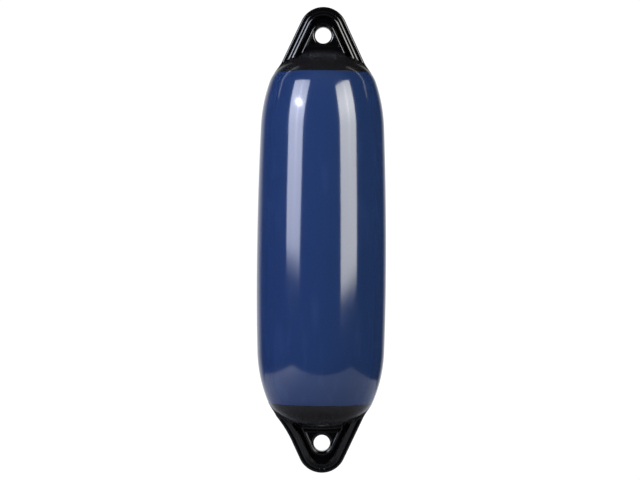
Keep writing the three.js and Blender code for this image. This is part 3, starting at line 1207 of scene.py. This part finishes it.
@dataclass
class AirValve:
    """Seat, flap, washer and slotted plug, along the valve's own axis with the dome's surface at 0."""

    pocket: ValvePocket
    flange_radius: float = 0.0099
    flange_top: float = -0.0015
    flange_under: float = -0.0051
    barrel_radius: float = 0.0062
    barrel_end: float = -0.0156
    bore_radius: float = 0.0037
    bore_floor: float = -0.0141
    recess_radius: float = 0.0063
    recess_floor: float = -0.005
    head_radius: float = 0.006
    head_under: float = -0.0032
    shank_radius: float = 0.0034
    shank_end: float = -0.0107
    slot_width: float = 0.0016
    slot_depth: float = 0.001
    edge: float = 0.0004
    thread_pitch: float = 0.0015
    thread_depth: float = 0.0004
    steps_round: int = 96

    def build(self, turned: TurnedTree, skin: SkinEffect) -> list[bpy.types.Object]:
        """Make the visible valve pieces and dress the hidden ones.

        Args:
            turned: Maker of turned solids.
            skin: The shared shader group.

        Returns:
            The finished pieces.
        """
        nylon, rubber = GREY_NYLON.material(skin), SEAL_RUBBER.material(skin)
        place = self.pocket.place_in_fender()
        seat = turned.turn("valve_seat_insert", self._seat_profile(), self.steps_round, nylon, place)
        plug = turned.turn("valve_plug", self._plug_profile(), self.steps_round, nylon)
        self._cut_slot(plug)
        plug.data.transform(place)
        finish_mesh(plug, nylon, SHARP_DEGREES)
        for piece, body, node in ((seat, "fender", "valve_seat"), (plug, "plug", "valve_screw")):
            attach(piece, body)
            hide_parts(node)
        for node in ("valve_flap", "valve_washer"):
            cad = bpy.data.objects[node]
            cad.data.materials.clear()
            cad.data.materials.append(rubber)
        return [seat, plug]

    def _seat_profile(self) -> list[tuple[float, float]]:
        """List the seat's section, with its outer and inner rims eased.

        Returns:
            Radius and height of each point.
        """
        e = self.edge
        return [
            (0, self.barrel_end), (self.barrel_radius - e, self.barrel_end),
            (self.barrel_radius, self.barrel_end + e), (self.barrel_radius, self.flange_under),
            (self.flange_radius - e, self.flange_under), (self.flange_radius, self.flange_under + e),
            (self.flange_radius, self.flange_top - e), (self.flange_radius - e, self.flange_top),
            (self.recess_radius + e, self.flange_top), (self.recess_radius, self.flange_top - e),
            (self.recess_radius, self.recess_floor), (self.bore_radius, self.recess_floor),
            (self.bore_radius, self.bore_floor), (0, self.bore_floor),
        ]

    def _plug_profile(self) -> list[tuple[float, float]]:
        """List the plug's section, with a grooved shank for its thread.

        Returns:
            Radius and height of each point.
        """
        e = self.edge
        shank = [(0, self.shank_end), (self.shank_radius - 2 * e, self.shank_end)]
        height = self.shank_end + e
        while height + self.thread_pitch < self.head_under - e:
            shank.append((self.shank_radius - self.thread_depth, height))
            shank.append((self.shank_radius, height + self.thread_pitch / 2))
            height += self.thread_pitch
        shank.append((self.shank_radius - self.thread_depth, height))
        head = [
            (self.shank_radius - self.thread_depth, self.head_under),
            (self.head_radius - e, self.head_under),
            (self.head_radius, self.head_under + e), (self.head_radius, self.flange_top - e),
            (self.head_radius - e, self.flange_top), (0, self.flange_top),
        ]
        return shank + head

    def _cut_slot(self, plug: bpy.types.Object) -> None:
        """Cut the coin slot across the plug's head.

        Args:
            plug: The plug, still along Z at the origin.
        """
        size = (3 * self.head_radius, self.slot_width, 2 * self.slot_depth)
        shape = bmesh.new()
        bmesh.ops.create_cube(shape, size=1, matrix=Matrix.Diagonal((*size, 1)))
        bmesh.ops.translate(shape, verts=shape.verts, vec=(0, 0, self.flange_top))
        mesh = bpy.data.meshes.new("slot_cutter")
        shape.to_mesh(mesh)
        shape.free()
        cutter = object_of("slot_cutter", mesh)
        cut = plug.modifiers.new("slot", "BOOLEAN")
        cut.object, cut.operation, cut.solver = cutter, "DIFFERENCE", "EXACT"
        held = plug.evaluated_get(bpy.context.evaluated_depsgraph_get())
        mesh = bpy.data.meshes.new_from_object(held)
        plug.modifiers.clear()
        plug.data = mesh
        bpy.data.objects.remove(cutter)


# Studio


@dataclass(frozen=True)
class FaceGlow:
    """How bright a soft light's face is: even, a glow, a core line and a spot, with a soft foot."""

    base: float
    glow: float = 0.0
    glow_height: float = 0.6
    glow_reach: float = 0.4
    core: float = 0.0
    core_place: float = 0.0
    core_width: float = 0.03
    spot: float = 0.0
    spot_place: float = 0.0
    spot_height: float = 0.65
    spot_width: float = 0.11
    spot_tallness: float = 0.035
    foot_fade: float = 0.06


class LampGlow:
    """Shader group that turns a place on a soft light's face into its strength."""

    def __init__(self) -> None:
        """Build the group once, with one input for each size of a face's glow."""
        self.tree = bpy.data.node_groups.new("lamp_glow", "ShaderNodeTree")
        face = self.tree.interface
        face.new_socket("Vector", in_out="INPUT", socket_type="NodeSocketVector")
        for size in fields(FaceGlow):
            face.new_socket(size.name, in_out="INPUT", socket_type="NodeSocketFloat")
        face.new_socket("Strength", in_out="OUTPUT", socket_type="NodeSocketFloat")
        nodes, links = self.tree.nodes, self.tree.links
        given, out = nodes.new("NodeGroupInput"), nodes.new("NodeGroupOutput")
        split = nodes.new("ShaderNodeSeparateXYZ")
        links.new(given.outputs["Vector"], split.inputs["Vector"])
        get, across, up = given.outputs, split.outputs["X"], split.outputs["Z"]
        tall = self._bell(up, get["glow_height"], get["glow_reach"])
        core = maths(self.tree, "MULTIPLY",
                     self._bell(across, get["core_place"], get["core_width"]), tall)
        spot = maths(self.tree, "MULTIPLY",
                     self._bell(across, get["spot_place"], get["spot_width"]),
                     self._bell(up, get["spot_height"], get["spot_tallness"]))
        total = maths(self.tree, "MULTIPLY_ADD", tall, get["glow"], get["base"])
        total = maths(self.tree, "MULTIPLY_ADD", core, get["core"], total)
        total = maths(self.tree, "MULTIPLY_ADD", spot, get["spot"], total)
        fade = maths(self.tree, "DIVIDE", up, get["foot_fade"])
        fade.node.use_clamp = True
        links.new(maths(self.tree, "MULTIPLY", total, fade), out.inputs["Strength"])

    def _bell(self, value: object, middle: object, reach: object) -> bpy.types.NodeSocket:
        """Add a bell curve, 1 at its middle.

        Args:
            value: Where to read it.
            middle: Where it is highest.
            reach: Distance over which it drops to about a third.

        Returns:
            The curve's socket.
        """
        share = maths(self.tree, "DIVIDE", maths(self.tree, "SUBTRACT", value, middle), reach)
        square = maths(self.tree, "MULTIPLY", share, share)
        return maths(self.tree, "EXPONENT", maths(self.tree, "MULTIPLY", square, -1.0))


@dataclass(frozen=True)
class Softbox:
    """A tall soft light that leans towards the fender, seen only in reflections and by its light."""

    name: str
    azimuth: float
    foot: float
    head: float
    width: float
    low: float
    high: float
    roll: float
    colour: Colour
    glow: FaceGlow
    shift: float = 0.0
    top_skew: float = 0.0
    only_in_gloss: bool = False

    def build(self, lamp: LampGlow) -> None:
        """Hang the light's face in its place.

        Args:
            lamp: Shader group for its face.
        """
        length = math.hypot(self.foot - self.head, self.high - self.low)
        half = self.width / 2
        left, right = self.shift - half, self.shift + half
        corners = np.array([(left, 0, 0), (right, 0, 0), (right, 0, length + self.top_skew),
                            (left, 0, length - self.top_skew)])
        card = object_of(self.name, mesh_of(self.name, corners, [(0, 1, 2, 3)]))
        card.data.materials.append(self._material(lamp))
        lean = math.atan2(self.foot - self.head, self.high - self.low)
        turn = math.radians(self.azimuth)
        middle = Vector((math.sin(turn) * self.foot, -math.cos(turn) * self.foot, self.low))
        turned = Matrix.Rotation(turn, 4, "Z") @ Matrix.Rotation(-lean, 4, "X")
        rolled = Matrix.Rotation(math.radians(self.roll), 4, "Y")
        card.matrix_world = Matrix.Translation(middle) @ turned @ rolled
        card.visible_camera = card.visible_shadow = False
        card.visible_diffuse = not self.only_in_gloss

    def _material(self, lamp: LampGlow) -> bpy.types.Material:
        """Make the face's glowing material.

        Args:
            lamp: Shader group for its face.

        Returns:
            The material.
        """
        made = bpy.data.materials.new(self.name)
        made.use_nodes = True
        nodes, links = made.node_tree.nodes, made.node_tree.links
        nodes.clear()
        out, light = nodes.new("ShaderNodeOutputMaterial"), nodes.new("ShaderNodeEmission")
        light.inputs["Color"].default_value = (*self.colour, 1)
        where, group = nodes.new("ShaderNodeTexCoord"), nodes.new("ShaderNodeGroup")
        group.node_tree = lamp.tree
        links.new(where.outputs["Object"], group.inputs["Vector"])
        for name, value in asdict(self.glow).items():
            group.inputs[name].default_value = value
        links.new(group.outputs["Strength"], light.inputs["Strength"])
        links.new(light.outputs["Emission"], out.inputs["Surface"])
        return made


@dataclass(frozen=True)
class Lamp:
    """A plain rectangular light: a strip seen in the gloss, or a fill that isn't."""

    name: str
    place: tuple[float, float, float]
    size: tuple[float, float]
    roll: float
    radiance: float
    colour: Colour
    in_gloss: bool

    def build(self) -> None:
        """Hang the light and aim it at the fender's middle."""
        lamp = bpy.data.lights.new(self.name, "AREA")
        lamp.shape = "RECTANGLE"
        lamp.size, lamp.size_y = self.size
        lamp.energy = self.radiance * math.pi * self.size[0] * self.size[1]
        lamp.color = self.colour
        holder = bpy.data.objects.new(self.name, lamp)
        aim = (-Vector(self.place)).to_track_quat("-Z", "Y").to_matrix().to_4x4()
        aim = aim @ Matrix.Rotation(math.radians(self.roll), 4, "Z")
        holder.matrix_world = Matrix.Translation(self.place) @ aim
        holder.visible_camera = False
        holder.visible_glossy = self.in_gloss
        bpy.context.scene.collection.objects.link(holder)


def spot_at(azimuth: float, elevation: float, distance: float) -> tuple[float, float, float]:
    """Give a place by its direction from the fender's middle.

    Args:
        azimuth: Degrees from the camera's side, to the right.
        elevation: Degrees up.
        distance: Metres.

    Returns:
        X, Y and Z in metres.
    """
    turn, rise = math.radians(azimuth), math.radians(elevation)
    level = distance * math.cos(rise)
    return level * math.sin(turn), -level * math.cos(turn), distance * math.sin(rise)


LAMP_DISTANCE = 2.2


@dataclass
class Studio:
    """Pale floor under the hanging fender, white surroundings, soft lights and the camera."""

    camera_distance: float = 2.9
    lens: float = 140.47
    camera_x: float = -0.0019
    camera_z: float = -0.0002
    roll_degrees: float = 0.45
    floor_height: float = -0.45
    floor_radius: float = 1.6
    floor_sides: int = 128
    floor_roughness: float = 0.9
    dark: float = 0.02
    back_light: float = 0.75
    back_start: float = 0.72
    back_full: float = 0.95
    back_lean: float = -0.1
    back_above: float = 0.3
    fade_start: float = 0.15
    fade_full: float = 0.5
    top_light: float = 0.17
    top_start: float = 0.35
    top_full: float = 0.8
    top_back: float = -0.1
    top_front: float = -0.4
    sight_white: float = 1.05
    floor_colour: Colour = (0.62, 0.62, 0.62)
    softboxes: tuple[Softbox, ...] = (
        Softbox("left_softbox", azimuth=-50.6, foot=1.25, head=0.86, width=0.56, low=-0.06,
                high=0.82, roll=2.3, colour=(0.8, 0.84, 1.0),
                glow=FaceGlow(base=9.0, glow=5.0, glow_height=0.6, glow_reach=0.35,
                              core=5.0, core_place=0.03,
                              spot=60.0, spot_place=0.03, foot_fade=0.08), top_skew=0.06),
        Softbox("right_softbox", azimuth=48.9, foot=1.25, head=1.04, width=0.66, low=-0.11,
                high=0.92, roll=-4.0, colour=(1.0, 1.0, 0.96),
                glow=FaceGlow(base=9.1, glow=4.2, glow_height=0.7, glow_reach=0.3,
                              core=5.0, core_place=0.04),
                top_skew=-0.02),
        Softbox("low_card", azimuth=3.0, foot=0.7, head=-0.9, width=1.9, low=-0.42,
                high=-0.42, roll=0.0, colour=(0.86, 0.9, 1.0),
                glow=FaceGlow(base=0.75, glow_height=0.1, glow_reach=0.7, core=1.0,
                              core_place=-0.85, core_width=0.35, spot=-0.7, spot_height=0.83,
                              spot_width=0.45, spot_tallness=0.45, foot_fade=0.03),
                shift=-0.05, only_in_gloss=True),
    )
    lamps: tuple[Lamp, ...] = (
        Lamp("left_fill", spot_at(-62, 12, LAMP_DISTANCE), size=(1.0, 1.0), roll=0,
             radiance=9.0, colour=(0.85, 0.9, 1.0), in_gloss=False),
        Lamp("left_back_fill", spot_at(-145, 15, LAMP_DISTANCE), size=(1.2, 1.2), roll=0,
             radiance=9.0, colour=(1.0, 0.97, 0.9), in_gloss=False),
        Lamp("right_back_fill", spot_at(145, 15, LAMP_DISTANCE), size=(1.2, 1.2), roll=0,
             radiance=9.0, colour=(1.0, 0.95, 0.88), in_gloss=False),
        Lamp("left_strip", spot_at(-110, 42, LAMP_DISTANCE), size=(0.08, 1.7), roll=25,
             radiance=3.5, colour=(0.9, 0.95, 1.0), in_gloss=True),
        Lamp("right_strip", spot_at(110, 42, LAMP_DISTANCE), size=(0.08, 1.7), roll=-25,
             radiance=3.0, colour=(1.0, 0.97, 0.92), in_gloss=True),
    )

    def build(self) -> None:
        """Make the stage, the lights and the camera."""
        self._floor()
        self._world()
        glow = LampGlow()
        for softbox in self.softboxes:
            softbox.build(glow)
        for lamp in self.lamps:
            lamp.build()
        self._camera()
        bpy.context.scene.view_settings.view_transform = "Standard"

    def _floor(self) -> None:
        """Lay a round pale floor well below the fender, out of sight of a level camera in front."""
        pale = bpy.data.materials.new("floor_pale")
        pale.use_nodes = True
        shader = pale.node_tree.nodes["Principled BSDF"]
        shader.inputs["Base Color"].default_value = (*self.floor_colour, 1)
        shader.inputs["Roughness"].default_value = self.floor_roughness
        turns = [math.tau * i / self.floor_sides for i in range(self.floor_sides)]
        rim = [(self.floor_radius * math.cos(t), self.floor_radius * math.sin(t), self.floor_height)
               for t in turns]
        face = mesh_of("studio_floor", np.array(rim), [range(self.floor_sides)])
        disc = object_of("studio_floor", face)
        disc.data.materials.append(pale)
        disc.visible_glossy = False

    def _world(self) -> None:
        """Make the surroundings: dark on the camera's side, white behind, plain white to look at."""
        world = bpy.data.worlds.new("studio_surroundings")
        world.use_nodes = True
        bpy.context.scene.world = world
        tree = world.node_tree
        where, split = tree.nodes.new("ShaderNodeTexCoord"), tree.nodes.new("ShaderNodeSeparateXYZ")
        tree.links.new(where.outputs["Generated"], split.inputs["Vector"])
        x, y, z = split.outputs
        lean = maths(tree, "MULTIPLY_ADD", x, self.back_lean, y)
        behind = ramp(tree, lean, (self.back_start, self.back_full), (self.dark, self.back_light),
                      "SMOOTHSTEP")
        below = ramp(tree, z, (self.fade_start, self.fade_full), (1.0, self.back_above))
        above = ramp(tree, z, (self.top_start, self.top_full), (0.0, self.top_light), "SMOOTHSTEP")
        ahead = ramp(tree, y, (self.top_back, self.top_front))
        light = maths(tree, "MULTIPLY_ADD", above, ahead, maths(tree, "MULTIPLY", behind, below))
        sight, pick = tree.nodes.new("ShaderNodeLightPath"), tree.nodes.new("ShaderNodeMix")
        feed(tree, sight.outputs["Is Camera Ray"], pick.inputs["Factor"])
        feed(tree, light, pick.inputs[2])
        feed(tree, self.sight_white, pick.inputs[3])
        back = tree.nodes["Background"]
        feed(tree, pick.outputs[0], back.inputs["Strength"])
        feed(tree, (1, 1, 1, 1), back.inputs["Color"])

    def _camera(self) -> None:
        """Set the camera at the photograph's angle, level with the fender's middle."""
        data = bpy.data.cameras.new("camera")
        data.lens = self.lens
        camera = bpy.data.objects.new("camera", data)
        camera.location = (self.camera_x, -self.camera_distance, self.camera_z)
        roll = math.radians(self.roll_degrees)
        camera.rotation_mode = "QUATERNION"
        look = Vector((0, 1, 0)).to_track_quat("-Z", "Y")
        camera.rotation_quaternion = look @ Matrix.Rotation(roll, 3, "Z").to_quaternion()
        bpy.context.scene.collection.objects.link(camera)
        bpy.context.scene.camera = camera


def main() -> None:
    """Build the fender and the studio in order, and report each piece."""
    logging.basicConfig(level=logging.INFO, format="%(name)s: %(message)s")
    turned, skin = TurnedTree(), SkinEffect()
    black = BLACK_VINYL.material(skin)
    pocket = ValvePocket()
    upper_eye = RopeEye(UPPER_OUTLINE, pad_radius=0.0206, pad_height=0.0052, hole_to_tip=0.033)
    lower_eye = RopeEye(LOWER_OUTLINE, pad_radius=0.0219, pad_height=0.0024, hole_to_tip=0.0345,
                        offset=-0.0021, pad_slope=18, pad_reach=0.0475, brim_slope=42, flare=0.0034,
                         gate_mark=True)
    upper = MouldedEnd("upper_end", "top_rope_eye", upper_eye, below_seam=0.0043)
    lower = MouldedEnd("lower_end", "bottom_rope_eye", lower_eye)
    made = AirBody().build(turned, skin)
    made += upper.build(black, pocket)
    made += lower.build(black, None)
    made += AirValve(pocket).build(turned, skin)
    for piece in made:
        LOG.info("%s: %d faces", piece.name, len(piece.data.polygons))
    Studio().build()


if __name__ == "__main__":
    main()
